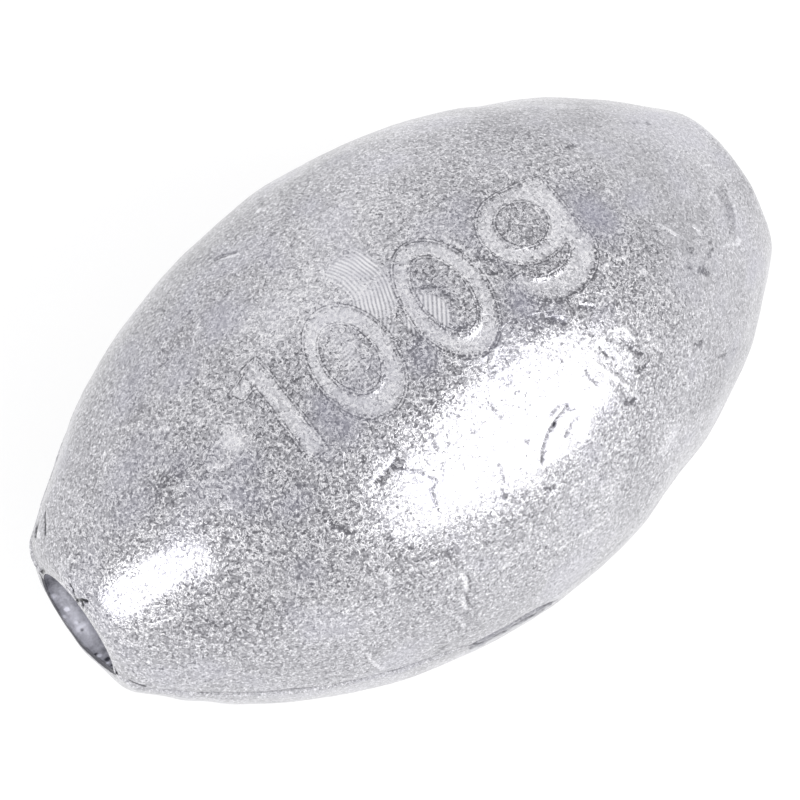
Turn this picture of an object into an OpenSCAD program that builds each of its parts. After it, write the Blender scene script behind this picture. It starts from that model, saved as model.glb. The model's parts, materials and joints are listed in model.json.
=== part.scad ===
// Barrel fishing sinker: one lead casting that slides on a line run through its lengthwise bore.
// The bore lies along X, the mould parted on the XY plane, and the side with the weight mark is up.
// Lengths are in millimetres and the origin is the middle of the bore.

/* [Body] */
// Length from end face to end face
body_length = 36; // [30:0.5:44]
// Largest diameter, at mid length
body_d = 22.6; // [19:0.2:27]
// Outer diameter of the narrow flat face round each mouth
end_face_d = 5.7; // [5.4:0.1:7]
// Radius of the round that joins each end face to the side
end_round_r = 1.95; // [1:0.05:2.6]

/* [Line bore] */
// Diameter of the straight bore
bore_d = 4.8; // [3:0.1:4.9]
// Radius of the worn edge at each mouth
mouth_round_r = 0.1; // [0.05:0.05:0.2]

/* [Parting ridge] */
// How far the ridge stands above the side, where the two halves of the mould met
ridge_height = 0.12; // [0.05:0.01:0.3]
// Width of the ridge
ridge_width = 0.34; // [0.2:0.02:0.6]

/* [Gate stub] */
// Length of the clipped stub along the body
gate_length = 4.6; // [3:0.2:7]
// Thickness of the stub across the parting plane
gate_thickness = 0.9; // [0.5:0.1:1.6]
// How far the middle of that thickness lies below the parting plane
gate_drop = 0.3; // [0:0.05:0.6]
// Distance from mid length to the middle of the stub, towards the -X end
gate_offset = 2.5; // [0:0.1:5]
// How much shorter each end of the stub is at its clipped face
gate_taper = 0.2; // [0:0.05:0.4]

/* [Hidden] */

half_length = body_length / 2;
body_r = body_d / 2;
end_face_r = end_face_d / 2;
bore_r = bore_d / 2;

// Cuts run past the faces that they open by this much
overrun = 1;
// Depth to which the stub is rooted in the side
gate_root = 1.5;

// The centre of the end round, as distances along the bore and out from it
round_centre_x = half_length - end_round_r;
round_centre_r = end_face_r;

// The side is one arc through the largest diameter that runs tangent into both end rounds,
// so the two centres are apart by the difference of the two radii
round_drop = body_r - round_centre_r;
side_arc_r = (round_centre_x ^ 2 + round_drop ^ 2 - end_round_r ^ 2) / (2 * (round_drop - end_round_r));
side_centre_r = body_r - side_arc_r;

// Direction from the side arc's centre to the point where the arc meets the end round
blend_angle = atan2(round_centre_x, round_centre_r - side_centre_r);

$fn = 180;

// Radius of the side at a distance x from mid length
function side_radius(x) = side_centre_r + sqrt(side_arc_r ^ 2 - x ^ 2);

// One end of the outline, mirrored for the other: the end round with the wedge under it
module end_outline(grow) {
    blend = [side_centre_r + (side_arc_r + grow) * cos(blend_angle), (side_arc_r + grow) * sin(blend_angle)];
    polygon([
        [0, 0],
        [blend[0], 0],
        blend,
        [round_centre_r, round_centre_x],
        [round_centre_r, half_length + grow],
        [0, half_length + grow]
    ]);
    translate([round_centre_r, round_centre_x])
        circle(r = end_round_r + grow);
}

// Half section of the casting without its bore, radius along x and the bore's line along y
module half_section(grow = 0) {
    blend_x = (side_arc_r + grow) * sin(blend_angle);
    intersection() {
        translate([side_centre_r, 0])
            circle(r = side_arc_r + grow);
        translate([0, -blend_x])
            square([body_r + grow, 2 * blend_x]);
    }
    end_outline(grow);
    mirror([0, 1])
        end_outline(grow);
}

// The barrel, turned so that its axis lies along X
module barrel(grow = 0) {
    rotate([0, 90, 0])
        rotate_extrude()
            half_section(grow);
}

// What the core rod left: a straight bore whose two mouths have a worn, rounded edge
module line_bore() {
    mouth_r = bore_r + mouth_round_r;
    wall_end = half_length - mouth_round_r;
    rotate([0, 90, 0])
        rotate_extrude()
            difference() {
                polygon([
                    [0, -half_length - overrun],
                    [mouth_r, -half_length - overrun],
                    [mouth_r, -wall_end],
                    [bore_r, -wall_end],
                    [bore_r, wall_end],
                    [mouth_r, wall_end],
                    [mouth_r, half_length + overrun],
                    [0, half_length + overrun]
                ]);
                for (side = [-1, 1])
                    translate([mouth_r, side * wall_end])
                        circle(r = mouth_round_r);
            }
}

// Slab on the parting plane, all along the body, from which the ridge is cut
module ridge_slab() {
    cube([body_length, body_d + 2 * overrun, ridge_width], center = true);
}

// Block on the -Y side from which the stub of the gate is cut
module gate_block() {
    root_y = side_radius(gate_offset + gate_length / 2) - gate_root;
    face_y = side_radius(gate_offset) + ridge_height;
    translate([-gate_offset, 0, -gate_drop - gate_thickness / 2])
        linear_extrude(gate_thickness)
            polygon([
                [-gate_length / 2, -root_y],
                [gate_length / 2, -root_y],
                [gate_length / 2 - gate_taper, -face_y - overrun],
                [gate_taper - gate_length / 2, -face_y - overrun]
            ]);
}

// What the mould's joint left: a thin ridge along both sides, trimmed at the end faces, and the stub of the
// gate that fed the mould, clipped to the curve of the side at the height of the ridge
module parting_flash() {
    intersection() {
        barrel(ridge_height);
        union() {
            ridge_slab();
            gate_block();
        }
    }
}

module sinker_body() {
    color("silver")
        difference() {
            union() {
                barrel();
                parting_flash();
            }
            line_bore();
        }
}

sinker_body();
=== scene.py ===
"""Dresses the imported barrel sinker: a lead casting with its weight mark, lying on a white table."""

import json
import math

import bmesh
import bpy
from mathutils import Matrix, Vector, noise


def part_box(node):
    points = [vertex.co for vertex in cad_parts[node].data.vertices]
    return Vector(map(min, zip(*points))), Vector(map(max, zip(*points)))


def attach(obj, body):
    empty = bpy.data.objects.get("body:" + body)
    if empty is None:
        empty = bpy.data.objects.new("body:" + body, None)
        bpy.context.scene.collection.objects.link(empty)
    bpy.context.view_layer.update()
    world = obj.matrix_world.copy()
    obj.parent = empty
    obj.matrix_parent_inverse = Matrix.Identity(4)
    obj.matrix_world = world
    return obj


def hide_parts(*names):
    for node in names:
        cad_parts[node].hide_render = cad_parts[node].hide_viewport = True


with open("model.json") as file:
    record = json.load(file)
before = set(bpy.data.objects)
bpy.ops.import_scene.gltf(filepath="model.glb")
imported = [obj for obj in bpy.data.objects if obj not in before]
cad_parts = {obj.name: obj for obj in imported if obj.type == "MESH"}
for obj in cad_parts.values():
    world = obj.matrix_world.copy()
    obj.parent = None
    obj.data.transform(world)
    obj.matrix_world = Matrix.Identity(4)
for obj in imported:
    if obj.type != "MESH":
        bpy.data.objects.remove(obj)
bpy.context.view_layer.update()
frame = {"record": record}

# Lengths below are in millimetres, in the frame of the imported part
MM = 0.001
low_corner, high_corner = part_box("sinker_body")
HALF_LENGTH = high_corner.x / MM
BODY_R = high_corner.z / MM
mounts = {mount["name"]: mount for mount in frame["record"]["mounts"]}
BORE_R = mounts["line_bore"]["dims"]["r_mm"]

# The barrel's section, and how finely it is cut along the side, at its rounds and about the bore
END_FACE_R = 2.85
END_ROUND_R = 1.95
MOUTH_ROUND_R = 0.06
SIDE_STEP = 0.31
END_ROUND_PIECES = 16
MOUTH_ROUND_PIECES = 5
TURN_STEPS = 220
WALL_DEPTHS = (0.05, 0.1, 0.17, 0.25, 0.34, 0.44, 0.55, 0.68, 0.83, 1.0, 1.25, 1.6, 2.1, 2.8, 4, 6, 9, 13)

# The photographed side lies this many degrees round from the top, towards -Y
VIEW_ROLL = 14.4

# The figures are sunk this deep into the side, with walls this wide
FIGURE_DEPTH = 0.07
FIGURE_WALL = 0.24

# The zeros: middle along the bore, half width, half height, lean, and shift of the hole
FIRST_ZERO = (-3.81, 1.81, 2.84, 0.05, 0.1)
SECOND_ZERO = (1.06, 1.84, 3.0, 0.2, 0.05)
ZERO_LINE = (0.74, 0.94)
GRAM_MIDDLE = 6.0

# Places along the bore at which one figure gives way to the next
ONE_END = -6.3
FIRST_ZERO_END = -1.38
SECOND_ZERO_END = 3.4

# The arcs of small pits under the last two figures: middle both ways, and reach
BEAD_ARCS = ((1.06, -0.14, 3.0), (6.04, -1.0, 2.2))
BEAD_STEP = 0.25

# The tool marks: straight ones inside the second zero, and curved ones over the first
STRAIGHT_MIDDLE = (-0.2, -0.42)
STRAIGHT_PITCH = 0.19
CURVED_CENTRE = (-4.45, 2.65)
CURVED_PITCH = 0.17

# The blob at the foot of the first figure
DOT_MIDDLE = (-9.7, 0.41)
DOT_REACH = (1.05, 1.3)
DOT_HEIGHT = 0.04

# The part of the unrolled side that holds the mark, and the extra cuts where detail lies
MARK_ZONE = (-10.6, 9.2, -3.9, 4.3)
FINE_CUTS = 3
GATE_CUTS = 2
GATE_CUT_LENGTH = 0.15

# Heights at which the mesh is cut for the parting line and the gate
SEAM_CUTS = (-0.95, -0.8, -0.1, 0.0, 0.08, 0.16, 0.26, 0.36, 0.46)
RIDGE_HEIGHT = 0.09
RIDGE_Z = 0.08
RIDGE_HALF_WIDTH = 0.19
GROOVE_Z = 0.36
LOW_GROOVE_Z = -0.37
GROOVE_DEPTH = 0.04

# The clipped gate's ends, and the lower edge of its face
GATE_X = (-4.75, 0.15)
GATE_LOW_Z = -0.85

# Past this place the near end is drawn by strokes in its own plane
NEAR_END_X = -16.3

# Middle of the near mouth's far side, in degrees round from the top
FAR_RIM = -178

# The near mouth's edge is worn past this place and within this radius: pushed in along the bore in one
# direction and spread in two, each with its reach round the bore, both in degrees, and its depth
WORN_X = -16.9
WORN_R = 4.2
PUSHED_EDGE = (-132, 50, 0.15)
SPREAD_EDGES = ((-95, 75, 0.2), (135, 95, 0.3))


def side_arc():
    """Radius and centre of the arc that runs tangent from one end round to the other."""
    centre_x = HALF_LENGTH - END_ROUND_R
    drop = BODY_R - END_FACE_R
    radius = (centre_x ** 2 + drop ** 2 - END_ROUND_R ** 2) / (2 * (drop - END_ROUND_R))
    return radius, BODY_R - radius


SIDE_ARC_R, SIDE_CENTRE_R = side_arc()


def arc(centre, radius, start, end, pieces):
    """Points of an arc in the section, angles in radians from the +X axis."""
    points = []
    for i in range(pieces + 1):
        angle = start + (end - start) * i / pieces
        points.append((centre[0] + radius * math.cos(angle), centre[1] + radius * math.sin(angle)))
    return points


def section():
    """The closed section of the casting, as (x, radius) pairs."""
    upright = math.pi / 2
    blend = math.asin((HALF_LENGTH - END_ROUND_R) / (SIDE_ARC_R - END_ROUND_R))
    side_pieces = round(2 * blend * SIDE_ARC_R / SIDE_STEP)
    round_centre = (HALF_LENGTH - END_ROUND_R, END_FACE_R)
    mouth_centre = (HALF_LENGTH - MOUTH_ROUND_R, BORE_R + MOUTH_ROUND_R)
    half = arc((0, SIDE_CENTRE_R), SIDE_ARC_R, upright, upright - blend, side_pieces // 2)
    half += arc(round_centre, END_ROUND_R, upright - blend, 0, END_ROUND_PIECES)[1:]
    half += arc(mouth_centre, MOUTH_ROUND_R, 0, -upright, MOUTH_ROUND_PIECES)
    for depth in WALL_DEPTHS:
        half.append((HALF_LENGTH - MOUTH_ROUND_R - depth, BORE_R))
    other = [(-x, r) for x, r in half[1:]]
    return half + other[::-1]


def smooth(value):
    """Runs from 0 to 1 as the value does, without a kink at either end."""
    value = min(max(value, 0.0), 1.0)
    return value * value * (3 - 2 * value)


def bump(distance, reach):
    """1 at the middle of a soft spot and 0 past its reach."""
    return 1 - smooth(distance / reach)


# Distances to plain shapes on the unrolled side, negative inside
def to_ellipse(u, v, half_u, half_v):
    near = math.hypot(u / half_u, v / half_v)
    steep = math.hypot(u / half_u ** 2, v / half_v ** 2)
    return near * (near - 1) / max(steep, 1e-6) if near > 0.05 else -min(half_u, half_v)


def to_bar(u, v, half_u, half_v, corner=0.0):
    du = abs(u) - half_u + corner
    dv = abs(v) - half_v + corner
    return math.hypot(max(du, 0), max(dv, 0)) + min(max(du, dv), 0) - corner


def turned(u, v, angle):
    c, s = math.cos(angle), math.sin(angle)
    return u * c + v * s, v * c - u * s


def to_one(u, v):
    stem = to_bar(u + 7.33, v - 0.1, 0.42, 2.8, 0.1)
    fu, fv = turned(u + 7.85, v - 2.25, math.radians(18))
    flag = to_bar(fu, fv, 0.8, 0.4, 0.2)
    return min(stem, flag)


def to_zero(u, v, centre_u, half_u, half_v, lean, shift):
    """A zero that leans out at its lower left, with its hole off centre by a shift."""
    fuller = lean * smooth((centre_u - u) / 1.2) * smooth(0.4 - v / 3)
    outer = to_ellipse(u - centre_u, v + 0.14, half_u + fuller, half_v)
    hole_u = half_u - ZERO_LINE[0] + shift
    hole_v = half_v - ZERO_LINE[1] - shift
    inner = to_ellipse(u - centre_u + shift, v + 0.05 - shift, hole_u, hole_v)
    return max(outer, -inner)


def to_gram(u, v):
    """A single-storey g: a round bowl, a straight stem with a square top corner and an open hook."""
    u -= GRAM_MIDDLE
    bowl = to_ellipse(u, v - 0.84, 2.13, 2.0)
    corner = to_bar(u - 1.1, v - 1.6, 1.08, 1.24, 0.05)
    stem = to_bar(u - 1.66, v - 0.7, 0.52, 1.9, 0.05)
    hook = max(to_ellipse(u - 0.1, v + 1.1, 2.24, 2.11), v + 1.05)
    hole = to_ellipse(u + 0.06, v - 0.88, 1.26, 1.26)
    gap = to_ellipse(u + 0.15, v + 1.05, 1.3, 0.8)
    body = min(bowl, corner, stem, max(hook, -gap))
    return max(body, -hole)


def to_figures(u, v):
    """Distance to the outline of the weight mark."""
    if u < ONE_END:
        return to_one(u, v)
    if u < FIRST_ZERO_END:
        return to_zero(u, v, *FIRST_ZERO)
    if u < SECOND_ZERO_END:
        return to_zero(u, v, *SECOND_ZERO)
    return to_gram(u, v)


def in_mark_zone(u, v):
    low_u, high_u, low_v, high_v = MARK_ZONE
    return low_u < u < high_u and low_v < v < high_v


def beads(u, v):
    """The string of small pits under the last two figures: how far along it, and how strong it is."""
    for centre_u, centre_v, reach in BEAD_ARCS:
        angle = math.atan2(v - centre_v, u - centre_u)
        if abs(u - centre_u) < 2.4 and -2.9 < angle < -0.2:
            ends = min(smooth((angle + 2.5) / 0.3), smooth((-0.5 - angle) / 0.3))
            return angle * reach / BEAD_STEP, ends
    return 0.0, 0.0


def figure_share(v, distance):
    """How far the mark's floor is reached: over wide walls low down, and melted into the skin high up."""
    soft = smooth((v - 1.2) / 2.2)
    low = smooth((0.2 - v) / 1.4)
    wall = FIGURE_WALL * (1 + 1.2 * soft + 0.8 * low)
    return smooth((0.08 - distance) / wall) * (1 - 0.45 * soft)


def combs(u, v, distance):
    """Fine parallel tool marks beside and inside the zeros: how far along them, and how strong."""
    clear = smooth((distance - 0.03) / 0.12)
    patch = math.hypot(u - STRAIGHT_MIDDLE[0], v - STRAIGHT_MIDDLE[1])
    if patch < 1.4:
        return (0.827 * u - 0.562 * v) / STRAIGHT_PITCH, clear * smooth((1.04 - patch) / 0.12)
    from_centre = (u - CURVED_CENTRE[0], v - CURVED_CENTRE[1])
    radius = math.hypot(*from_centre)
    angle = math.degrees(math.atan2(from_centre[1], from_centre[0]))
    uneven = noise.noise(Vector((u * 1.1, v * 1.1, 5.0)))
    arcs = min(smooth((radius - 1.95) / 0.6), smooth((4.3 - radius) / 0.5), smooth((4.3 - v) / 0.35))
    arcs *= min(smooth((46 - angle) / 16), smooth((angle + 56) / 12)) * (0.75 + 0.9 * uneven)
    hole = 0.5 * bump(math.hypot((u + 3.95) / 0.95, (v - 0.35) / 1.6), 1) * (0.8 + 1.2 * uneven)
    return radius / CURVED_PITCH + 0.55 * uneven, clear * max(arcs, hole, 0.0)


def unroll(co):
    """Where a point of the side lies on the unrolled skin: along the bore, and round from the top."""
    return co.x, BODY_R * math.atan2(co.y, co.z)


# Low swells and flats that show on the outline: place along the bore, degrees round from the top,
# reach both ways in millimetres, height
SWELLS = (
    (7.6, -96, 2.8, 5.0, -0.2), (13.6, -90, 2.2, 4.0, 0.06), (-16.9, -114, 1.6, 4.5, -0.15),
    (-15.2, -111, 1.0, 4.5, -0.08), (-7.6, -105, 2.4, 4.5, 0.06), (-14.8, 82.5, 3.0, 4.5, -0.13),
    (-17.8, 105, 1.0, 5.0, -0.02), (-0.4, 72.8, 3.0, 4.0, 0.09), (10.2, 65.5, 1.7, 4.0, -0.08),
    (12.9, 62, 1.8, 4.0, 0.05), (16.3, 57, 1.4, 4.0, -0.05), (17.8, -50, 1.0, 5.0, -0.07),
    (17.7, 30, 1.0, 5.0, 0.04),
)

# Lumps of the as-cast skin, from broad to small: scale, height, and place in the noise
LUMPS = (
    (0.16, 0.02, (3.1, 7.7, 1.3)),
    (0.45, 0.03, (11.0, 2.5, 6.1)),
    (0.95, 0.026, (5.0, 9.1, 4.4)),
    (1.9, 0.011, (2.0, 1.1, 7.4)),
)

# Wider knocks: place on the unrolled skin, reach both ways, turn in radians, depth
DENTS = (
    (9.0, -0.3, 1.0, 2.0, 0.1, 0.06),
    (-4.6, 9.4, 0.7, 0.5, 0.6, 0.05),
    (3.7, -2.2, 0.9, 1.2, 0.0, 0.05),
    (-6.1, -1.2, 0.6, 1.2, 0.0, 0.04),
    (-1.5, -1.8, 0.7, 0.9, 0.0, 0.04),
)

# How strokes are drawn, on the side and on the near end: reach in half widths, gain that flattens the
# middle, share of the wander, and shares of the listed height and shade
SIDE_STYLE = (2.0, 1.5, 1.0, 0.5, 1.1)
END_STYLE = (1.4, 1.6, 0.5, 0.6, 1.8)

# A stroke this wide needs no finer mesh, and a narrower one gets it this far past its half width, on
# the side and on the near end
WIDE_STROKE = 0.3
SIDE_MARGIN = 0.25
END_MARGIN = 0.12

# A soft patch fades out at this many times its listed reach
PATCH_FADE = 1.4

# The skin's shade is kept between these
SHADE_RANGE = (-2.0, 1.0)

# Scratches, cracks, pits and pale spots of the skin: half width, height, shade with dark below 0 and
# bright above, and the path as places along the bore with degrees round from the photographed side. The
# shade is partly the skin's own tone, partly painted shade in cracks and pits and painted highlights on
# ridges
STROKES = (
    (0.1, -0.06, -0.9, ((-5.95, -11.7), (-5.4, -11.3), (-4.8, -10.4))),
    (0.06, 0.02, 0.9, ((-9.15, -4.9), (-8.7, -4.4))),
    (0.07, 0.03, 0.9, ((-7.5, -32.5), (-7.35, -35.5), (-7.45, -38))),
    (0.08, 0.03, 0.9, ((-4.5, -44), (-4.4, -46.5), (-4.5, -49.3))),
    (0.06, -0.03, -0.8, ((-4.34, -44.5), (-4.26, -47), (-4.36, -49))),
    (0.08, 0.03, 0.9, ((-4.75, -51), (-4.8, -53.5), (-4.7, -56))),
    (0.06, -0.03, -0.8, ((-4.58, -51), (-4.62, -53.5), (-4.52, -56))),
    (0.07, 0.03, 0.9, ((-5.15, -57.5), (-5.05, -60), (-5, -62.5))),
    (0.06, 0.02, 0.8, ((-9.2, -59), (-9.1, -62.5), (-8.9, -66.5), (-8.65, -70))),
    (0.06, 0.02, 0.6, ((-9.6, -58), (-9.3, -56), (-9, -54.5))),
    (0.12, -0.03, -0.7, ((-8.5, -11), (-8.3, -15), (-8.05, -19))),
    (0.1, -0.03, -0.6, ((-14.4, -27), (-14.2, -30), (-13.9, -30.5))),
    (0.08, 0.02, 0.8, ((-17, -21.4), (-16.2, -21.2), (-15.2, -21.6))),
    (0.06, 0.02, 0.7, ((-6.4, -36), (-5.6, -37.3), (-4.9, -37.4))),
    (0.13, -0.05, -0.9, ((-5.98, -69), (-5.95, -69.5))),
    (0.1, -0.04, -0.7, ((-6.2, -70.6), (-6.2, -71.2))),
    (0.06, -0.02, -0.94, ((-4.95, -11.5), (-4.3, -15), (-3.75, -19.3), (-4.2, -20.5), (-4.3, -25.5))),
    (0.07, -0.02, -0.8, ((-3, -9.5), (-3.1, -13))),
    (0.07, -0.02, -0.8, ((-3.2, -16.5), (-3.5, -20))),
    (0.25, -0.03, -0.5, ((-5.2, -36), (-4.6, -37.5))),
    (0.08, -0.05, -1.19, ((0.7, -29.5), (1.1, -26.6), (1.55, -24.5), (2, -23.6))),
    (0.08, -0.06, -1.1, ((2, -23.6), (2.5, -22.6), (2.85, -22.3), (3.1, -23.6))),
    (0.07, -0.03, -0.94, ((2.2, -27.6), (2.7, -26.2), (3.2, -25.6))),
    (0.07, -0.03, -1, ((2, -21.3), (2.5, -20.7), (3, -21.6))),
    (0.07, -0.03, -0.94, ((-1.05, -24), (-1.2, -27.5), (-1.5, -30.5), (-1.45, -32))),
    (0.1, -0.04, -1.1, ((0.5, -22.8), (0.52, -23.2))),
    (0.09, -0.03, -1, ((-1.35, -14), (-1.3, -14.3))),
    (0.08, -0.03, -1, ((-0.1, -10), (0, -15.2))),
    (0.07, -0.03, -1, ((0.9, -7.5), (1, -9.5), (1.2, -9.9), (1.35, -8.2))),
    (0.07, -0.03, -1, ((4.55, -18), (4.45, -20), (4.7, -22.5))),
    (0.07, 0.03, 0.8, ((4.9, -16), (5.3, -20.5), (5.8, -26), (6.1, -31.5))),
    (0.07, 0.03, 0.8, ((4.9, -15.3), (5.7, -14.3), (6.5, -14), (7.1, -15.5), (7.3, -19))),
    (0.06, -0.03, -0.94, ((5.65, -15.8), (5.7, -17.5), (6, -20))),
    (0.07, -0.02, -1, ((6.8, -18), (7, -22), (7.3, -24))),
    (0.07, 0.03, 0.7, ((8, -20.5), (8.1, -24), (8.3, -27))),
    (0.15, -0.05, -1.1, ((5.6, -31), (5.95, -32.2))),
    (0.14, -0.04, -1.1, ((6.85, -26.6), (7.1, -27.2))),
    (0.15, -0.05, -0.9, ((0.5, -36.2), (0.65, -36.9))),
    (0.08, 0.03, 0.9, ((-2.7, -48.6), (-2.3, -48.5))),
    (0.08, 0.03, 1, ((0, -53.8), (0.45, -53.6))),
    (0.07, 0.03, 0.8, ((1.2, -54.5), (1.75, -55), (2.3, -56))),
    (0.35, 0, 0.6, ((6.8, -51.5), (7.3, -50.3))),
    (0.5, 0, 0.3, ((3.3, -48), (3.5, -48.2))),
    (0.05, 0, -0.4, ((4.4, -63), (4.55, -69), (4.8, -74))),
    (0.06, -0.04, -0.8, ((0.75, -3.3), (1.2, -1.8))),
    (0.06, 0.03, 0.8, ((0.95, -3.7), (1.4, -2.1))),
    (0.28, -0.04, -0.45, ((15.7, -1.8), (15.63, -9.2), (15.15, -18.2))),
    (0.06, 0.02, 0.7, ((16, -5), (15.95, -10), (15.75, -15.6), (15.35, -19.5))),
    (0.06, 0.02, 0.7, ((14.1, -19.5), (14.6, -21.5), (15, -25))),
    (0.13, -0.04, -0.9, ((4.23, -3.2), (4.8, -5.9))),
    (0.13, -0.04, -0.9, ((5.83, -5.2), (6.28, -7.2))),
    (0.06, 0.03, 0.9, ((7.8, -0.7), (8.4, -0.5), (9.06, -1.4))),
    (0.08, 0.03, 0.9, ((11.5, 0.8), (11.7, -1.3))),
    (0.07, 0.03, 0.8, ((11.8, -2.2), (12.05, -5))),
    (0.07, 0.02, 0.8, ((13.1, -6), (13.2, -9.8))),
    (0.08, 0.03, 0.9, ((15.05, -22.5), (15.25, -25))),
    (0.06, 0.02, 0.7, ((15.05, -0.5), (15.3, -3))),
    (0.14, -0.05, -0.8, ((12.3, -11.5), (12.35, -12))),
    (0.15, -0.05, -0.9, ((12.2, -18.5), (12.3, -19.2), (12.4, -21))),
    (0.11, -0.04, -0.7, ((11.7, -14.5), (11.72, -15.2))),
    (0.1, -0.04, -0.7, ((13, -17), (13.05, -17.8), (13.3, -16.7))),
    (0.09, -0.04, -0.6, ((13.4, -14), (13.5, -14.6))),
    (0.15, -0.04, -0.7, ((10.1, -34.7), (10.45, -35.6))),
    (0.07, -0.02, -0.5, ((11.2, -46), (11.7, -49))),
    (0.07, -0.02, -0.5, ((12.1, -51), (12.6, -54.5), (12.9, -57))),
    (0.08, 0.04, 1, ((-11.1, 15.7), (-10.85, 14.2), (-10.5, 12.8))),
    (0.07, 0.03, 0.8, ((-12.9, 19.2), (-12.5, 17), (-12.1, 15.8))),
    (0.06, 0.03, 0.8, ((-11.8, 19), (-11.6, 17))),
    (0.06, 0.02, 0.7, ((-11.85, 36), (-11.55, 34.5), (-11.3, 32.6))),
    (0.06, 0.02, 0.6, ((-6.5, 38), (-6.2, 38.6), (-6, 38.2))),
    (0.06, 0.03, 0.8, ((-10.3, 28.5), (-10.35, 26))),
    (0.06, 0.02, 0.7, ((-10, 25), (-9.5, 28), (-9.1, 29.5))),
    (0.07, -0.04, -0.8, ((-9.9, 50), (-9.5, 49.2))),
    (0.09, -0.05, -0.8, ((-4.95, 63), (-4.6, 62.4), (-4.4, 60.5), (-4.2, 59))),
    (0.08, 0.04, 0.9, ((-4.75, 61.4), (-4.5, 59.3), (-4.2, 57.8))),
    (0.1, -0.05, -0.7, ((-7.6, 55.3), (-7.4, 55))),
    (0.35, -0.02, -0.45, ((-13.2, 22.5), (-12.6, 21.5), (-12.2, 20))),
    (0.45, 0, -0.3, ((-11.5, 48), (-11.7, 46))),
    (0.08, 0.03, 0.9, ((-13.8, 48.4), (-13.8, 47.6))),
    (0.07, 0.03, 0.8, ((-13.85, 44), (-13.9, 43))),
    (0.07, 0.03, 0.8, ((-8.1, 47.4), (-7.9, 47.6))),
    (0.05, -0.03, -0.6, ((-1.2, 74.5), (-1.4, 71), (-1.6, 68.5))),
    (0.15, 0.02, 0.7, ((-1.9, 68.5), (-1.65, 67))),
    (0.09, -0.05, -0.8, ((-2.6, 54.8), (-2.5, 54.9))),
    (0.08, -0.04, -0.7, ((0.8, 47), (0.9, 46.7))),
    (0.07, -0.04, -0.8, ((2.95, 17), (3.4, 16.8), (3.7, 15), (3.85, 13), (4.1, 10.5))),
    (0.06, -0.04, -0.7, ((3, 13.5), (3.4, 11.8), (3.75, 11.5))),
    (0.06, 0.03, 0.8, ((2.6, 26), (3, 21), (3.08, 15), (2.98, 9))),
    (0.1, -0.06, -0.9, ((-1.15, 11.5), (-1, 9.5))),
    (0.1, -0.03, -0.7, ((-1.6, 7.8), (-1.1, 8.6))),
    (0.07, -0.05, -1, ((0.45, 18.3), (0.85, 17.2), (1.05, 15), (1.12, 12))),
    (0.08, -0.05, -0.9, ((0.4, 6.6), (0.8, 5.8), (1.2, 5.3))),
    (0.16, -0.08, -0.9, ((10.45, 34.4), (10.6, 34.6))),
    (0.08, -0.03, -0.6, ((14.5, 41.5), (14.3, 40))),
    (0.1, -0.03, -0.7, ((14.95, 40.8), (14.95, 39))),
    (0.4, 0, 0.35, ((12, 57.5), (12.4, 58))),
    (0.07, 0.03, 0.9, ((10.3, 16.3), (10.5, 15.8), (10.45, 14.5))),
    (0.09, 0.03, 0.9, ((13.7, 14.7), (13.75, 15.1))),
    (0.09, 0.03, 0.8, ((15.9, 11), (16, 10.6))),
    (0.12, 0.02, 0.8, ((9.45, -7.2), (9.5, -8))),
    (0.06, 0.02, 0.6, ((10, -13), (10.1, -22))),
    (0.06, 0.02, 0.6, ((9.4, -11), (9.5, -17))),
)

# The same for the near end, its paths as places (y, z) in the end's own plane
END_STROKES = (
    (0.12, -0.11, -0.9, ((0.7, 3.26), (0.48, 3.2))),
    (0.09, -0.08, -0.8, ((0.48, 3.2), (0.23, 2.87), (0.14, 2.6))),
    (0.11, 0.06, 1, ((1.34, 2.05), (0.91, 2.49), (0.68, 2.64), (0.4, 2.74))),
    (0.05, -0.04, -0.7, ((1, 2.62), (0.7, 2.84), (0.45, 2.92))),
    (0.1, -0.08, -0.95, ((0.12, 2.62), (0, 3.02), (-0.17, 3.37), (-0.4, 3.58))),
    (0.13, -0.12, -1, ((-0.24, 3.16), (-0.26, 3))),
    (0.07, 0.05, 1, ((-2.5, 0.25), (-2.79, -0.08), (-3.07, -0.41))),
    (0.08, -0.08, -1, ((-2.62, 0.46), (-2.86, 0.24), (-3.06, 0))),
    (0.06, -0.04, -0.8, ((-3.6, 0.47), (-3.93, 0.5), (-4.2, 0.5))),
    (0.06, -0.06, -0.9, ((4.3, 2.38), (3.8, 2.56), (3.4, 2.66))),
    (0.14, -0.12, -0.9, ((4.22, 1.6), (4.28, 1.1), (4.05, 1.2), (3.89, 1.54))),
    (0.1, 0.04, 0.8, ((3.8, 1.8), (3.65, 2.1))),
    (0.17, -0.05, -1, ((2.5, 0.75), (2.58, 0.25))),
    (0.09, -0.03, -0.9, ((2.45, -0.62), (2.77, -0.59), (3.07, -0.36), (3.4, -0.15))),
)

# Painted glints and painted shade on the bore's wall just inside the near mouth, broad ones lightening
# the wall's middle and darkening its ends: depth, degrees round from the top, reach, shade
WALL_GLINTS_AND_SHADE = (
    (0.36, 149.3, 0.11, 1), (0.12, 154.4, 0.08, 0.7), (0.16, -148.6, 0.12, 1),
    (0.13, -131.2, 0.1, 0.9), (0.41, 165.3, 0.1, 0.4), (0.54, 166.2, 0.09, -0.5),
    (0.41, 174.4, 0.1, -0.6), (0.12, -153.4, 0.1, -0.6), (0.14, 131, 0.16, 0.4),
    (0.27, -137, 0.2, -0.5), (0.25, 172, 0.12, 0.45), (0.45, 172.2, 0.12, 0.4),
    (0.65, 172.4, 0.12, 0.35), (0.05, 80, 0.32, -1), (0.2, -122, 0.14, -0.6),
    (0.5, -150, 0.25, -0.2), (0.4, 110, 0.9, -0.25), (0.5, 175, 1.1, 0.2),
    (0.3, -105, 0.5, -0.5), (0.16, -112, 0.08, 0.9),
)

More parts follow.
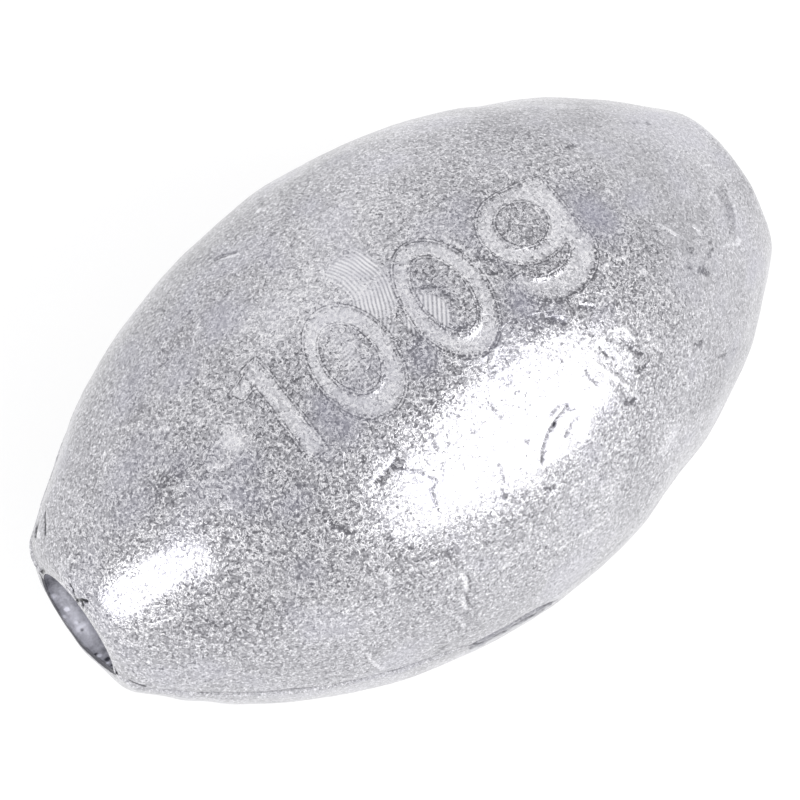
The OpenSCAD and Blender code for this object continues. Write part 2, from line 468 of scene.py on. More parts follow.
# Bluish, smoother patches: place along the bore, degrees round from the photographed side, reach both
# ways, strength
TARNISH = (
    (9, 13, 1.1, 2.3, 1), (-10.2, -24, 0.9, 1.1, 0.5), (-11.4, -35, 0.5, 1.3, 0.5),
    (-9.3, -6, 1.1, 0.9, 0.7), (-10.6, 1, 1, 1.2, 0.6), (-5.8, 2, 0.7, 1, 0.8),
    (-9.9, 9, 0.8, 1, 0.7), (3.7, 3, 0.8, 1.3, 1), (-1.5, 5, 0.8, 1, 0.8),
    (4.2, 30, 0.9, 1, 0.6), (3.5, 23, 0.6, 1.2, 0.5), (-6.1, 8, 0.6, 1.3, 0.8),
    (-13.5, 35, 1.8, 1.7, 0.7), (-11, 55, 1.8, 1.7, 0.6), (-10.2, 68, 1, 1.7, 0.6),
    (-14.4, 24, 1.3, 1.5, 0.7), (-9.3, 45, 1, 1.5, 0.5), (-6.8, 46, 1.4, 1.4, 0.5),
    (-3.5, 48, 0.6, 1.3, 0.6), (-8, 58, 1.6, 1.1, 0.4), (-0.6, 55, 0.9, 0.9, 0.5),
    (2.5, 68, 1.2, 1.2, 0.4), (15.3, -42, 1, 1.3, 0.4), (17, 12, 0.6, 1.7, 0.6),
    (12.3, -53, 1, 1.1, 0.5), (16, 50, 0.8, 1.7, 0.5), (11, 10, 0.8, 0.8, 0.4),
    (4.6, -3, 0.6, 0.7, 0.6),
)

# Paler and darker parts of the skin, in the same way, with how much paler: partly the skin's own tone,
# and partly painted shade, as in the darker bands along the upper side
PALE = (
    (0.5, 42, 5, 2.8, 0.3), (-4.5, 32, 3.2, 2, 0.45), (-8.2, 28, 1.3, 1.2, 0.3),
    (-4, 27, 4, 2.6, 0.3), (-3.95, 17, 0.8, 1.5, 0.3), (-1.6, 25.6, 0.6, 0.5, 0.9),
    (-12, 20, 1.7, 1.9, -0.35), (4, 1, 1.6, 1.6, -0.45), (4, -56, 8, 3.6, 0.22),
    (16, 14, 2.2, 5, 0.25), (-9.5, 20, 2.2, 2.5, 0.15), (9, 12, 1.3, 2.3, -0.35),
    (-1.5, 5, 0.9, 1, -0.35), (-6, 6, 0.8, 1.7, -0.3), (-9.5, -2, 2, 1.6, -0.15),
    (-7, 46, 3, 2, -0.1), (-6, 68, 11, 4, -0.35), (10, 52, 5, 3, -0.3),
    (-14, -42, 3, 5, -0.15),
)


def at_skin(x, degrees):
    """A place given from the photographed side, on the unrolled skin."""
    return x, BODY_R * math.radians(degrees - VIEW_ROLL)


def to_path(u, v, points):
    """Distance to a path of straight runs."""
    nearest = 1e9
    for (au, av), (bu, bv) in zip(points, points[1:]):
        du, dv = bu - au, bv - av
        share = ((u - au) * du + (v - av) * dv) / max(du * du + dv * dv, 1e-9)
        share = min(max(share, 0.0), 1.0)
        nearest = min(nearest, math.hypot(u - au - share * du, v - av - share * dv))
    return nearest


def by_cell():
    """The strokes on the unrolled skin, listed under each square millimetre that they come near."""
    cells = {}
    for half_width, height, shade, places in STROKES:
        points = [at_skin(*place) for place in places]
        reach = half_width * SIDE_STYLE[0] + SIDE_MARGIN
        us = [u for u, v in points]
        vs = [v for u, v in points]
        for i in range(math.floor(min(us) - reach), math.floor(max(us) + reach) + 1):
            for j in range(math.floor(min(vs) - reach), math.floor(max(vs) + reach) + 1):
                cells.setdefault((i, j), []).append((half_width, height, shade, points))
    return cells


CELLS = by_cell()


def strokes_near(u, v):
    return CELLS.get((math.floor(u), math.floor(v)), ())


def draw_strokes(strokes, a, b, wander, style):
    """Height and shade that strokes give a place, by its distance to their paths."""
    spread, gain, wander_share, rise_share, tone_share = style
    height = shade = 0.0
    for half_width, rise, tone, points in strokes:
        distance = to_path(a, b, points) + wander * wander_share
        amount = min(1.0, gain * bump(distance, half_width * spread))
        height += rise_share * rise * amount
        shade += tone_share * tone * amount
    return height, shade


def scratches(co, u, v):
    """What the strokes near this point add to its height and shade."""
    wander = 0.05 * noise.noise(co * 4.0)
    height, shade = draw_strokes(strokes_near(u, v), u, v, wander, SIDE_STYLE)
    if co.x < NEAR_END_X:
        end_height, end_shade = draw_strokes(END_STROKES, co.y, co.z, wander, END_STYLE)
        height += end_height
        shade += end_shade
    return height, shade


def lumps(co, u, v):
    """Low swells of the as-cast skin."""
    height = sum(rise * noise.noise(co * scale + Vector(place)) for scale, rise, place in LUMPS)
    for x, degrees, length, width, swell in SWELLS:
        across = v - BODY_R * math.radians(degrees)
        height += swell * bump(math.hypot((u - x) / length, across / width), 1)
    return height


def seam(co):
    """The ridge that the mould's joint left, with fine grooves beside it, worn away past the gate."""
    wear = 0.8 + 0.6 * noise.noise(Vector((co.x * 0.7, 2.0, math.copysign(3, co.y))))
    if co.y < 0:
        wear *= 1 - 0.8 * smooth((co.x + 6.5) / 2.5)
    ridge = bump(abs(co.z - RIDGE_Z), RIDGE_HALF_WIDTH)
    groove = bump(abs(co.z - GROOVE_Z), 0.13) * smooth(co.x + 17.2)
    low_groove = 0.5 * bump(abs(co.z - LOW_GROOVE_Z), 0.12)
    low_groove *= smooth((-7.5 - co.x) / 1.5) * smooth(co.x + 17)
    groove = max(groove, low_groove)
    # The shade is a painted highlight along the ridge and painted shade in the grooves beside it
    return wear * (RIDGE_HEIGHT * ridge - GROOVE_DEPTH * groove), wear * (0.35 * ridge - 0.7 * groove)


def dents(u, v):
    """What the wider knocks take off the height."""
    height = 0.0
    for centre_u, centre_v, length, width, turn, depth in DENTS:
        along, across = turned(u - centre_u, v - centre_v, turn)
        height -= depth * bump(math.hypot(along / length, across / width), 1)
    return height


def gate_top(x):
    """Height of the upper edge of the gate's face, which dips where the cut ran out."""
    return 0.1 - 0.95 * smooth((x + 1.4) / 1.5) - 0.1 * smooth((-4.2 - x) / 0.5)


def near_gate(co, margin):
    """Whether a place lies on the gate's side, within a margin of its two ends."""
    return co.y < 0 and GATE_X[0] - margin < co.x < GATE_X[1] + margin


def gate(co):
    """Where the gate was clipped: its share of the skin, height and shade there."""
    if not near_gate(co, 0.2) or abs(co.z) > 1.3:
        return 0.0, 0.0, 0.0
    top = gate_top(co.x)
    ends = smooth((co.x - GATE_X[0]) / 0.15) * smooth((GATE_X[1] - co.x) / 0.3)
    inside = ends * smooth((top - co.z) / 0.08) * smooth((co.z - GATE_LOW_Z) / 0.1)
    slit = ends * bump(abs(co.z - top + 0.03), 0.13)
    second = ends * bump(abs(co.z - top + 0.42), 0.1)
    ragged = 0.05 * noise.noise(co * 2.2) + 0.03 * noise.noise(co * 6.0)
    height = inside * (0.06 + ragged) - 0.12 * slit - 0.05 * second
    # Painted shadow in the slit under the face's upper edge and in the lower line, with a painted
    # highlight just above the edge
    shade = -0.95 * slit - 0.45 * second + 0.4 * ends * bump(abs(co.z - top - 0.14), 0.08)
    return inside, height, shade


def mark(u, v):
    """The weight mark and the tool marks round it: values for the skin's layers, height and shade."""
    distance = to_figures(u, v)
    share = figure_share(v, distance)
    dot = bump(math.hypot((u - DOT_MIDDLE[0]) / DOT_REACH[0], (v - DOT_MIDDLE[1]) / DOT_REACH[1]), 1)
    layers = {"figure": max(share, 0.8 * dot), "outline": min(distance, 1.0)}
    layers["comb"], layers["comb_share"] = combs(u, v, distance)
    layers["bead"], layers["bead_share"] = beads(u, v)
    return layers, DOT_HEIGHT * dot - FIGURE_DEPTH * share, 0.5 * dot


def coarseness(co, facing):
    """How strong the grain is, with its painted shade: most round the mark, less at the far end and where
    the front lamp's glint falls.
    """
    front = math.exp(-(facing / 42) ** 2) * (1 - 0.85 * smooth((co.x - 8.5) / 4))
    patch = smooth(0.5 + 1.1 * noise.noise(co * 0.22 + Vector((4.0, 8.0, 2.0))))
    behind = smooth((abs(facing + 8) - 85) / 30)
    glint_core = bump(math.hypot((co.x - 0.8) / 8.5, (facing + 21) / 17), 1)
    return 0.5 - 0.14 * smooth((co.x - 4) / 8) + 0.55 * front + 0.35 * behind * patch - 0.55 * glint_core


def patches(u, v, table):
    """Strongest and summed strength of a table's patches at a place on the unrolled skin."""
    most = whole = 0.0
    for x, degrees, length, width, strength in table:
        if abs(u - x) < length * PATCH_FADE:
            across = v - at_skin(x, degrees)[1]
            amount = strength * bump(math.hypot((u - x) / length, across / width), PATCH_FADE)
            most = max(most, amount)
            whole += amount
    return most, whole


def turn_from(co, degrees):
    """Angle in degrees between a point and a direction, both round the bore."""
    away = math.degrees(math.atan2(co.y, co.z)) - degrees
    return abs((away + 180) % 360 - 180)


def worn(co, edge):
    degrees, reach, depth = edge
    return depth * bump(turn_from(co, degrees), reach)


def mouth_wear(co, radius):
    """How far the near mouth's edge is worn, in along the bore and out from it."""
    if co.x > WORN_X or radius > WORN_R:
        return Vector()
    pushed = worn(co, PUSHED_EDGE) * smooth((WORN_X - co.x) / 0.8) * smooth((WORN_R - radius) / 0.8)
    around = sum(worn(co, edge) for edge in SPREAD_EDGES)
    spread = around * smooth((-17.2 - co.x) / 0.6) * smooth((2.95 - radius) / 0.45)
    return Vector((pushed, 0, 0)) + spread * Vector((0, co.y, co.z)).normalized()


def rim_shade(co, radius):
    """Painted shade on the rim of the near mouth's far side, where the lip lies in shadow."""
    if co.x > -17.5:
        return 0.0
    return -1.1 * smooth((105 - turn_from(co, FAR_RIM)) / 25) * bump(radius - 2.5, 0.75)


def wall_shade(co):
    """Painted shade of the bore's wall along the lip, with the painted glints and shade of the near
    mouth.
    """
    depth = HALF_LENGTH - abs(co.x)
    shade = -0.75 * bump(depth, 0.1)
    if co.x < 0 and depth < 1.2:
        for spot_depth, degrees, reach, tone in WALL_GLINTS_AND_SHADE:
            turn = math.atan2(co.y, co.z) - math.radians(degrees)
            around = BORE_R * math.atan2(math.sin(turn), math.cos(turn))
            shade += 1.6 * tone * bump(math.hypot(depth - spot_depth, around), reach * 1.2)
    return shade


# What the skin's material reads at each point of the mesh
SKIN_LAYERS = (
    "figure", "outline", "broken", "shade", "coarse", "tarnish",
    "comb", "comb_share", "bead", "bead_share",
)


def shape_skin(bm):
    """Moves the turned skin to its cast shape and records where the finish changes."""
    layers = {name: bm.verts.layers.float.new(name) for name in SKIN_LAYERS}
    bmesh.ops.recalc_face_normals(bm, faces=bm.faces)
    bm.normal_update()
    moves = []
    for vert in bm.verts:
        vert[layers["outline"]] = 1.0
        co = vert.co.copy()
        radius = math.hypot(co.y, co.z)
        outside = smooth((radius - BORE_R - 0.02) / 0.5)
        if outside <= 0:
            rim = rim_shade(co, radius) * smooth((radius - BORE_R) / 0.03)
            vert[layers["shade"]] = wall_shade(co) + rim
            moves.append((vert, mouth_wear(co, radius)))
            continue
        u, v = unroll(co)
        facing = math.degrees(v / BODY_R) + VIEW_ROLL
        seam_height, seam_shade = seam(co)
        broken, gate_height, gate_shade = gate(co)
        stroke_height, stroke_shade = scratches(co, u, v)
        height = lumps(co, u, v) + dents(u, v) + seam_height * (1 - broken) + gate_height
        shade = seam_shade * (1 - broken) + gate_shade + stroke_shade + patches(u, v, PALE)[1]
        shade += rim_shade(co, radius)
        if in_mark_zone(u, v):
            values, mark_height, mark_shade = mark(u, v)
            for name, value in values.items():
                vert[layers[name]] = value
            height += mark_height
            shade += mark_shade
        vert[layers["broken"]] = broken
        vert[layers["shade"]] = min(max(shade, SHADE_RANGE[0]), SHADE_RANGE[1])
        vert[layers["coarse"]] = coarseness(co, facing)
        vert[layers["tarnish"]] = patches(u, v, TARNISH)[0]
        move = vert.normal * (height * outside + stroke_height * min(1.0, outside * 3))
        moves.append((vert, move + mouth_wear(co, radius)))
    for vert, move in moves:
        vert.co += move


def wants_detail(face):
    """Whether the mark or a stroke of the skin crosses this face."""
    middle = face.calc_center_median()
    u, v = unroll(middle)
    if in_mark_zone(u, v):
        return True
    if middle.x < NEAR_END_X:
        strokes, margin = END_STROKES, END_MARGIN
        u, v = middle.y, middle.z
    else:
        strokes, margin = strokes_near(u, v), SIDE_MARGIN
    for half_width, rise, tone, points in strokes:
        if half_width < WIDE_STROKE and to_path(u, v, points) < half_width + margin:
            return True
    return False


def place_material_slots(bm):
    """The bore's wall takes the second material, and so does the rim on the near mouth's far side, whose
    darker colour is painted shade.
    """
    for face in bm.faces:
        face.smooth = True
        middle = face.calc_center_median()
        rim = middle.x < 0.01 - HALF_LENGTH and turn_from(middle, FAR_RIM) < 82
        reach = END_FACE_R if rim else BORE_R + 0.02
        if middle.yz.length < reach and (rim or abs(middle.x) < HALF_LENGTH - MOUTH_ROUND_R / 2):
            face.material_index = 1


def outside_bore(bm, margin):
    return [face for face in bm.faces if face.calc_center_median().yz.length > BORE_R + margin]


def edges_of(faces):
    """The edges of some faces, each once and in a fixed order."""
    return list(dict.fromkeys(edge for face in faces for edge in face.edges))


def on_gate(face):
    middle = face.calc_center_median()
    return middle.y < -9 and near_gate(middle, 0.3) and GATE_LOW_Z - 0.15 < middle.z < 0.4


def casting_mesh():
    """Turns the section about the bore, cuts it finer where it carries detail and shapes the skin."""
    bm = bmesh.new()
    ring = [bm.verts.new((x, 0, r)) for x, r in section()]
    edges = [bm.edges.new((a, b)) for a, b in zip(ring, ring[1:] + ring[:1])]
    whole_turn = {"axis": (1, 0, 0), "angle": 2 * math.pi, "steps": TURN_STEPS, "use_merge": True}
    bmesh.ops.spin(bm, geom=ring + edges, **whole_turn)
    fine = edges_of(face for face in outside_bore(bm, 0.05) if wants_detail(face))
    bmesh.ops.subdivide_edges(bm, edges=fine, cuts=FINE_CUTS, use_grid_fill=True)
    for height in SEAM_CUTS:
        faces = outside_bore(bm, 0.3)
        verts = list(dict.fromkeys(vert for face in faces for vert in face.verts))
        plane = {"plane_co": (0, 0, height), "plane_no": (0, 0, 1)}
        bmesh.ops.bisect_plane(bm, geom=faces + edges_of(faces) + verts, dist=1e-5, **plane)
    gate_edges = edges_of(face for face in bm.faces if on_gate(face))
    fine = [edge for edge in gate_edges if edge.calc_length() > GATE_CUT_LENGTH]
    bmesh.ops.subdivide_edges(bm, edges=fine, cuts=GATE_CUTS, use_grid_fill=True)
    place_material_slots(bm)
    shape_skin(bm)
    bmesh.ops.scale(bm, vec=(MM, MM, MM), verts=bm.verts)
    bmesh.ops.triangulate(bm, faces=[face for face in bm.faces if len(face.verts) > 4])
    bmesh.ops.recalc_face_normals(bm, faces=bm.faces)
    return bm


# How finely the skin's grain and folds and the wall's two grains are set, per millimetre, and the
# turns of the two sets of hairlines in radians
SKIN_GRAIN = 8.0
SKIN_FOLDS = 5.0
WALL_GRAINS = (2.5, 9.0)
HAIR_TURNS = (0.6, 2.1)

# Colours of the skin, of the bore's wall, and of what lies round the sinker
DARK_LEAD = (0.16, 0.158, 0.175, 1)
PALE_LEAD = (0.79, 0.785, 0.82, 1)
# Painted glint on the brightest crests of the grain
CREST_GLINT_WHITE = (1.0, 0.99, 1.0, 1)
TARNISH_VIOLET = (0.395, 0.392, 0.48, 1)
CLIPPED_GREY = (0.30, 0.30, 0.33, 1)
# Painted shadow for the deepest cracks
CRACK_SHADOW_BLACK = (0.02, 0.02, 0.025, 1)
WALL_DARK = (0.05, 0.05, 0.065, 1)
# The wall's pale end serves its painted glints, and its dark end its painted shade
WALL_PALE = (0.9, 0.9, 1.0, 1)
WHITE = (1, 1, 1, 1)
ROOM_TOP = (0.86, 0.86, 0.87, 1)
TABLE_GREY = (0.35, 0.35, 0.35, 1)
TABLE_GLOW = 0.7


def add_node(tree, kind, settings=(), feeds=()):
    """A new node, its inputs given as values or as the sockets that feed them."""
    made = tree.nodes.new(kind)
    for name, value in dict(settings).items():
        setattr(made, name, value)
    for name, value in dict(feeds).items():
        if isinstance(value, bpy.types.NodeSocket):
            tree.links.new(value, made.inputs[name])
        else:
            made.inputs[name].default_value = value
    return made


def calc(tree, operation, first, second=0.5):
    return add_node(tree, "ShaderNodeMath", {"operation": operation}, {0: first, 1: second}).outputs[0]


def fit(tree, value, low, high, to_low=0.0, to_high=1.0):
    """The value's run from low to high spread over another run, with soft ends."""
    feeds = {"Value": value, "From Min": low, "From Max": high, "To Min": to_low, "To Max": to_high}
    made = add_node(tree, "ShaderNodeMapRange", {"interpolation_type": "SMOOTHSTEP"}, feeds)
    return made.outputs["Result"]


def held(tree, value):
    """The value, kept between 0 and 1."""
    return calc(tree, "MAXIMUM", calc(tree, "MINIMUM", value, 1.0), 0.0)


def noise_node(tree, feeds):
    return add_node(tree, "ShaderNodeTexNoise", (), feeds).outputs


def blend_colours(tree, share, first, second):
    """A mix of two colours, which are inputs 6 and 7 of the node when it mixes colours."""
    feeds = {"Factor": share, 6: first, 7: second}
    return add_node(tree, "ShaderNodeMix", {"data_type": "RGBA"}, feeds).outputs[2]


def new_group(name, inputs, outputs):
    """An effect's node group with float or vector inputs and float outputs."""
    group = bpy.data.node_groups.new(name, "ShaderNodeTree")
    for title, default in inputs:
        kind = "NodeSocketVector" if default is None else "NodeSocketFloat"
        socket = group.interface.new_socket(title, in_out="INPUT", socket_type=kind)
        if default is not None:
            socket.default_value = default
    for title in outputs:
        group.interface.new_socket(title, in_out="OUTPUT", socket_type="NodeSocketFloat")
    return group, group.nodes.new("NodeGroupInput"), group.nodes.new("NodeGroupOutput")


def ridge_lines(tree, value, middle, half_width):
    """1 along the contour where a noise passes through its middle value, 0 past the half width."""
    away = calc(tree, "ABSOLUTE", calc(tree, "SUBTRACT", value, middle))
    return fit(tree, away, half_width, 0.0)


def cast_grain_group():
    """Fine frosty grain of lead that froze against the mould, with bright specks and dark pinholes."""
    titles = ["Height", "Specks", "Pinholes"]
    group, source, result = new_group("cast_grain", [("Vector", None), ("Size", SKIN_GRAIN)], titles)
    feeds = {"Vector": source.outputs["Vector"], "Scale": source.outputs["Size"]}
    grain = noise_node(group, {**feeds, "Detail": 1.0, "Roughness": 0.6})["Fac"]
    group.links.new(grain, result.inputs["Height"])
    group.links.new(fit(group, grain, 0.60, 0.74), result.inputs["Specks"])
    group.links.new(fit(group, grain, 0.40, 0.26), result.inputs["Pinholes"])
    return group


def wrinkle_group():
    """Short worm-like wrinkles and small rings where the skin of the melt was folded."""
    titles = ["Height", "Furrows"]
    group, source, result = new_group("wrinkles", [("Vector", None), ("Size", SKIN_FOLDS)], titles)
    feeds = {"Vector": source.outputs["Vector"], "Scale": source.outputs["Size"]}
    folds = noise_node(group, {**feeds, "Detail": 1.0, "Distortion": 0.4})["Color"]
    parts = add_node(group, "ShaderNodeSeparateColor", (), {0: folds}).outputs
    broken = fit(group, parts[1], 0.44, 0.54)
    worms = calc(group, "MULTIPLY", ridge_lines(group, parts[0], 0.5, 0.055), broken)
    furrows = calc(group, "MULTIPLY", ridge_lines(group, parts[0], 0.41, 0.045), broken)
    group.links.new(furrows, result.inputs["Furrows"])
    rings = ridge_lines(group, parts[0], 0.61, 0.035)
    group.links.new(calc(group, "MAXIMUM", worms, rings), result.inputs["Height"])
    return group


def hairline_group():
    """Fine hairline scratches that wander a little, in one direction for each use."""
    group, source, result = new_group("hairlines", [("Vector", None), ("Turn", 0.0)], ["Mask"])
    feeds = {"Vector": source.outputs["Vector"], "Angle": source.outputs["Turn"], "Axis": (0.2, 0.1, 1.0)}
    turn = add_node(group, "ShaderNodeVectorRotate", {"rotation_type": "AXIS_ANGLE"}, feeds)
    stretch = {0: turn.outputs[0], 1: (0.16, 0.9, 0.9)}
    drawn = add_node(group, "ShaderNodeVectorMath", {"operation": "MULTIPLY"}, stretch)
    field = noise_node(group, {"Vector": drawn.outputs[0], "Scale": 1.0, "Detail": 0.0})["Color"]
    parts = add_node(group, "ShaderNodeSeparateColor", (), {0: field}).outputs
    line = ridge_lines(group, parts[0], 0.5, 0.008)
    mask = calc(group, "MULTIPLY", line, fit(group, parts[1], 0.50, 0.56))
    group.links.new(mask, result.inputs["Mask"])
    return group


def use_group(tree, group, feeds):
    return add_node(tree, "ShaderNodeGroup", {"node_tree": group}, feeds).outputs


def in_millimetres(tree):
    """Object coordinates counted in millimetres."""
    place = add_node(tree, "ShaderNodeTexCoord").outputs["Object"]
    feeds = {0: place, "Scale": 1 / MM}
    return add_node(tree, "ShaderNodeVectorMath", {"operation": "SCALE"}, feeds).outputs[0]


def new_material(name):
    material = bpy.data.materials.new(name)
    material.use_nodes = True
    tree = material.node_tree
    return material, tree, tree.nodes["Principled BSDF"]


def attribute(tree, name):
    return add_node(tree, "ShaderNodeAttribute", {"attribute_name": name}).outputs["Fac"]


def total(tree, *terms):
    """Sum of pairs that are each multiplied first, or of plain values."""
    result = None
    for term in terms:
        if isinstance(term, tuple):
            term = calc(tree, "MULTIPLY", term[0], term[1])
        result = term if result is None else calc(tree, "ADD", result, term)
    return result


def wave(tree, name, operation):
    """Waves along a count that the mesh carries."""
    angle = calc(tree, "MULTIPLY", attribute(tree, name), 2 * math.pi)
    return calc(tree, operation, angle)


def mark_edges(tree, point):
    """Masks that follow the figures' outline: painted shade along the upper and lower edges, a painted
    highlight on the wall, and painted shade in the small dented pits.
    """
    outline = attribute(tree, "outline")
    edge_breaks = fit(tree, noise_node(tree, {"Vector": point, "Scale": 1.6})["Fac"], 0.4, 0.6)
    top_share = fit(tree, edge_breaks, 0.0, 1.0, 0.25, 1.0)
    top_edge = calc(tree, "MULTIPLY", ridge_lines(tree, outline, -0.04, 0.05), top_share)
    foot_share = fit(tree, edge_breaks, 1.0, 0.0, 0.4, 1.0)
    foot_edge = calc(tree, "MULTIPLY", ridge_lines(tree, outline, 0.09, 0.055), foot_share)
    wall = ridge_lines(tree, outline, 0.025, 0.05)
    beads = calc(tree, "MULTIPLY", ridge_lines(tree, outline, -0.03, 0.13), attribute(tree, "bead_share"))
    beads = calc(tree, "MULTIPLY", beads, fit(tree, wave(tree, "bead", "COSINE"), -0.5, 0.4))
    return top_edge, foot_edge, wall, beads


def hairlines(tree, group, point):
    """Hairline scratches in two directions."""
    first = use_group(tree, group, {"Vector": point, "Turn": HAIR_TURNS[0]})
    second = use_group(tree, group, {"Vector": point, "Turn": HAIR_TURNS[1]})
    return calc(tree, "MAXIMUM", first["Mask"], second["Mask"])


def cast_skin_material(groups):
    """Bright as-cast lead: frosty grain, folded wrinkles, tool marks, and smoother, paler figures."""
    material, tree, shader = new_material("cast_lead_skin")
    point = in_millimetres(tree)
    figure = attribute(tree, "figure")
    shade = attribute(tree, "shade")
    comb_share = attribute(tree, "comb_share")
    grain = use_group(tree, groups["grain"], {"Vector": point, "Size": SKIN_GRAIN})
    folded = use_group(tree, groups["wrinkles"], {"Vector": point, "Size": SKIN_FOLDS})
    wrinkles = folded["Height"]
    hairs = hairlines(tree, groups["hairlines"], point)
    drift = noise_node(tree, {"Vector": point, "Scale": 0.3, "Detail": 2.0})["Fac"]
    swing = calc(tree, "SUBTRACT", grain["Height"], 0.5)
    top_edge, foot_edge, wall, beads = mark_edges(tree, point)

    coarse = calc(tree, "MULTIPLY", attribute(tree, "coarse"), fit(tree, figure, 0.4, 1.0, 1.0, 0.75))
    coarse = calc(tree, "MULTIPLY", coarse, fit(tree, comb_share, 0.0, 1.0, 1.0, 0.25))
    folds = calc(tree, "MULTIPLY", wrinkles, coarse)
    comb = calc(tree, "MULTIPLY", wave(tree, "comb", "SINE"), comb_share)
    grain_height = fit(tree, coarse, 0.0, 1.0, 0.002, 0.003)
    height = total(tree, (swing, grain_height), (folds, 0.0015), (comb, 0.006), (hairs, 0.004),
                   (beads, -0.02))
    normal = add_node(tree, "ShaderNodeBump", (), {"Strength": 1.0, "Distance": MM, "Height": height})

    # The grain's tone: partly the lead's own grain, and partly painted shade in the hollows, furrows and
    # pinholes with painted highlights on the crests and worms
    speckle = total(tree, -0.12, (swing, 1.5), (wrinkles, 1.0), (folded["Furrows"], -0.7),
                    (grain["Specks"], 0.65), (grain["Pinholes"], -0.15))
    # Painted light in the tone: the shade layer's painted shade and highlights, painted shade along the
    # figures' edges and in their pits, and a painted highlight on their walls
    tone = total(tree, 0.53, (speckle, coarse), (figure, 0.37), (comb, 0.5), (comb_share, 0.4),
                 (calc(tree, "SUBTRACT", drift, 0.5), 0.5), (shade, 0.42), (hairs, 0.12),
                 (top_edge, -0.6), (foot_edge, -0.65), (wall, 0.15), (beads, -0.6))
    colour = blend_colours(tree, held(tree, tone), DARK_LEAD, PALE_LEAD)
    # Painted glint: the brightest crests go towards white
    colour = blend_colours(tree, fit(tree, tone, 1.0, 1.6), colour, CREST_GLINT_WHITE)
    violet = total(tree, (attribute(tree, "tarnish"), 0.4), (fit(tree, drift, 0.5, 0.7), 0.2))
    colour = blend_colours(tree, violet, colour, TARNISH_VIOLET)
    clipped = calc(tree, "MULTIPLY", attribute(tree, "broken"), 0.6)
    colour = blend_colours(tree, clipped, colour, CLIPPED_GREY)
    # Painted shadow: where the shade falls below -1 the colour goes towards black, as in the shadow deep
    # in a crack
    colour = blend_colours(tree, fit(tree, shade, -1.0, -1.8), colour, CRACK_SHADOW_BLACK)
    tree.links.new(colour, shader.inputs["Base Color"])
    tree.links.new(fit(tree, drift, 0.3, 0.7, 0.24, 0.19), shader.inputs["Roughness"])
    tree.links.new(normal.outputs[0], shader.inputs["Normal"])
    shader.inputs["Metallic"].default_value = 1.0
    return material


def bore_wall_material(groups):
    """The wall that the core rod left: smooth, dull and bluish, with painted shade along the lip and
    painted glints and shade near the mouth.
    """
    material, tree, shader = new_material("lead_bore_wall")
    point = in_millimetres(tree)
    broad = use_group(tree, groups["grain"], {"Vector": point, "Size": WALL_GRAINS[0]})["Height"]
    fine = use_group(tree, groups["grain"], {"Vector": point, "Size": WALL_GRAINS[1]})["Height"]
    broad_swing = calc(tree, "SUBTRACT", broad, 0.5)
    fine_swing = calc(tree, "SUBTRACT", fine, 0.5)
    tone = total(tree, 0.5, (broad_swing, 0.5), (fine_swing, 0.4), (attribute(tree, "shade"), 0.8))
    colour = blend_colours(tree, held(tree, tone), WALL_DARK, WALL_PALE)
    relief = total(tree, (broad, 0.02), (fine, 0.006))
    normal = add_node(tree, "ShaderNodeBump", (), {"Distance": MM, "Height": relief})
    tree.links.new(colour, shader.inputs["Base Color"])
    tree.links.new(normal.outputs[0], shader.inputs["Normal"])
    shader.inputs["Metallic"].default_value = 0.25
    shader.inputs["Roughness"].default_value = 0.5
    shader.inputs["Specular IOR Level"].default_value = 0.2
    return material


def make_casting():
    groups = {"grain": cast_grain_group(), "wrinkles": wrinkle_group(), "hairlines": hairline_group()}
    bm = casting_mesh()
    mesh = bpy.data.meshes.new("lead_casting")
    bm.to_mesh(mesh)
    bm.free()
    mesh.materials.append(cast_skin_material(groups))
    mesh.materials.append(bore_wall_material(groups))
    piece = bpy.data.objects.new("lead_casting", mesh)
    bpy.context.scene.collection.objects.link(piece)
    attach(piece, "root")
    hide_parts("sinker_body")


# The round table top, in metres
TABLE_R = 3.0
TABLE_SIDES = 96

# Both lamps stand this far from the middle of the sinker, in metres
LAMP_DISTANCE = 0.3


def white_to_the_eye(tree):
    """1 for rays from the camera, a reflection or a glass, 0 for the rays that light things."""
    path = add_node(tree, "ShaderNodeLightPath")
    seen = calc(tree, "MAXIMUM", path.outputs["Is Camera Ray"], path.outputs["Is Glossy Ray"])
    return calc(tree, "MAXIMUM", seen, path.outputs["Is Transmission Ray"])


def make_table():
    """A white table top that keeps the sinker's soft shadow."""
    material, tree, shader = new_material("white_table")
    shader.inputs["Base Color"].default_value = TABLE_GREY
    shader.inputs["Roughness"].default_value = 0.9
    shader.inputs["Specular IOR Level"].default_value = 0.0
    shader.inputs["Emission Color"].default_value = WHITE
    glow = calc(tree, "MULTIPLY", white_to_the_eye(tree), TABLE_GLOW)
    tree.links.new(glow, shader.inputs["Emission Strength"])
    bm = bmesh.new()
    bmesh.ops.create_circle(bm, cap_ends=True, segments=TABLE_SIDES, radius=TABLE_R)
    mesh = bpy.data.meshes.new("table")
    bm.to_mesh(mesh)
    bm.free()
    mesh.materials.append(material)
    table = bpy.data.objects.new("table", mesh)
    table.location.z = low_corner.z
    bpy.context.scene.collection.objects.link(table)


def make_world():
    """A white room, a little dimmer overhead."""
    world = bpy.data.worlds.new("studio")
    world.use_nodes = True
    tree = world.node_tree
    sky = tree.nodes["Background"]
    direction = add_node(tree, "ShaderNodeTexCoord").outputs["Generated"]
    up = add_node(tree, "ShaderNodeSeparateXYZ", (), {0: direction}).outputs["Z"]
    room = blend_colours(tree, fit(tree, up, 0.1, 1.0), WHITE, ROOM_TOP)
    tree.links.new(room, sky.inputs["Color"])
    bpy.context.scene.world = world


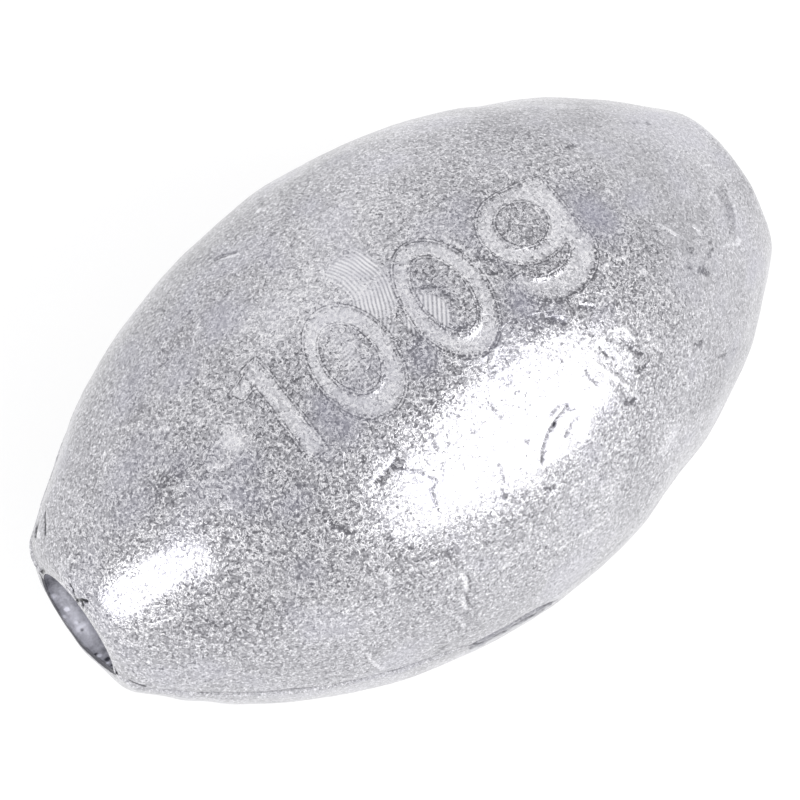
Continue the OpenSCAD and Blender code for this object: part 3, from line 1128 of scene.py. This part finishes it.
def make_lamp(name, toward, size, power):
    """A round soft lamp that faces the sinker."""
    data = bpy.data.lights.new(name, "AREA")
    data.shape = "DISK"
    data.size = size
    data.energy = power
    lamp = bpy.data.objects.new(name, data)
    lamp.location = Vector(toward).normalized() * LAMP_DISTANCE
    lamp.rotation_mode = "QUATERNION"
    lamp.rotation_quaternion = Vector(toward).to_track_quat("Z", "Y")
    bpy.context.scene.collection.objects.link(lamp)


# The camera, from the fit of the barrel's outline and its near mouth to the photograph: angles in
# radians, then in metres its distance, the width that it sees there and the shift of the barrel's middle
VIEW_TILT = math.radians(14.92)
AXIS_SLOPE = math.radians(34.22)
VIEW_DISTANCE = 0.223
PICTURE_WIDTH = 0.0357
CENTRE_SHIFT = (0.000303, 0.000089)

# Width of the camera's sensor, which is counted in millimetres as its lens is
SENSOR_WIDTH = 36


def make_camera():
    """The camera at the photograph's angle, off the near end and the -Y side of the sinker."""
    roll = math.radians(VIEW_ROLL)
    back = Vector((
        -math.sin(VIEW_TILT),
        -math.cos(VIEW_TILT) * math.sin(roll),
        math.cos(VIEW_TILT) * math.cos(roll),
    ))
    along = (Vector((1, 0, 0)) + math.sin(VIEW_TILT) * back).normalized()
    across = back.cross(along)
    right = math.cos(AXIS_SLOPE) * along - math.sin(AXIS_SLOPE) * across
    up = math.sin(AXIS_SLOPE) * along + math.cos(AXIS_SLOPE) * across
    data = bpy.data.cameras.new("camera")
    data.sensor_width = SENSOR_WIDTH
    data.lens = SENSOR_WIDTH * VIEW_DISTANCE / PICTURE_WIDTH
    camera = bpy.data.objects.new("camera", data)
    camera.rotation_mode = "QUATERNION"
    camera.rotation_quaternion = Matrix((right, up, back)).transposed().to_quaternion()
    camera.location = back * VIEW_DISTANCE - right * CENTRE_SHIFT[0] - up * CENTRE_SHIFT[1]
    bpy.context.scene.collection.objects.link(camera)
    bpy.context.scene.camera = camera


make_camera()
make_world()
make_lamp("front_lamp", (0.268, -0.776, 0.571), size=0.3, power=0.5)
make_lamp("end_lamp", (-0.915, -0.165, 0.37), size=0.13, power=0.11)
make_table()
make_casting()
bpy.context.scene.view_settings.view_transform = "Standard"

bpy.context.view_layer.update()
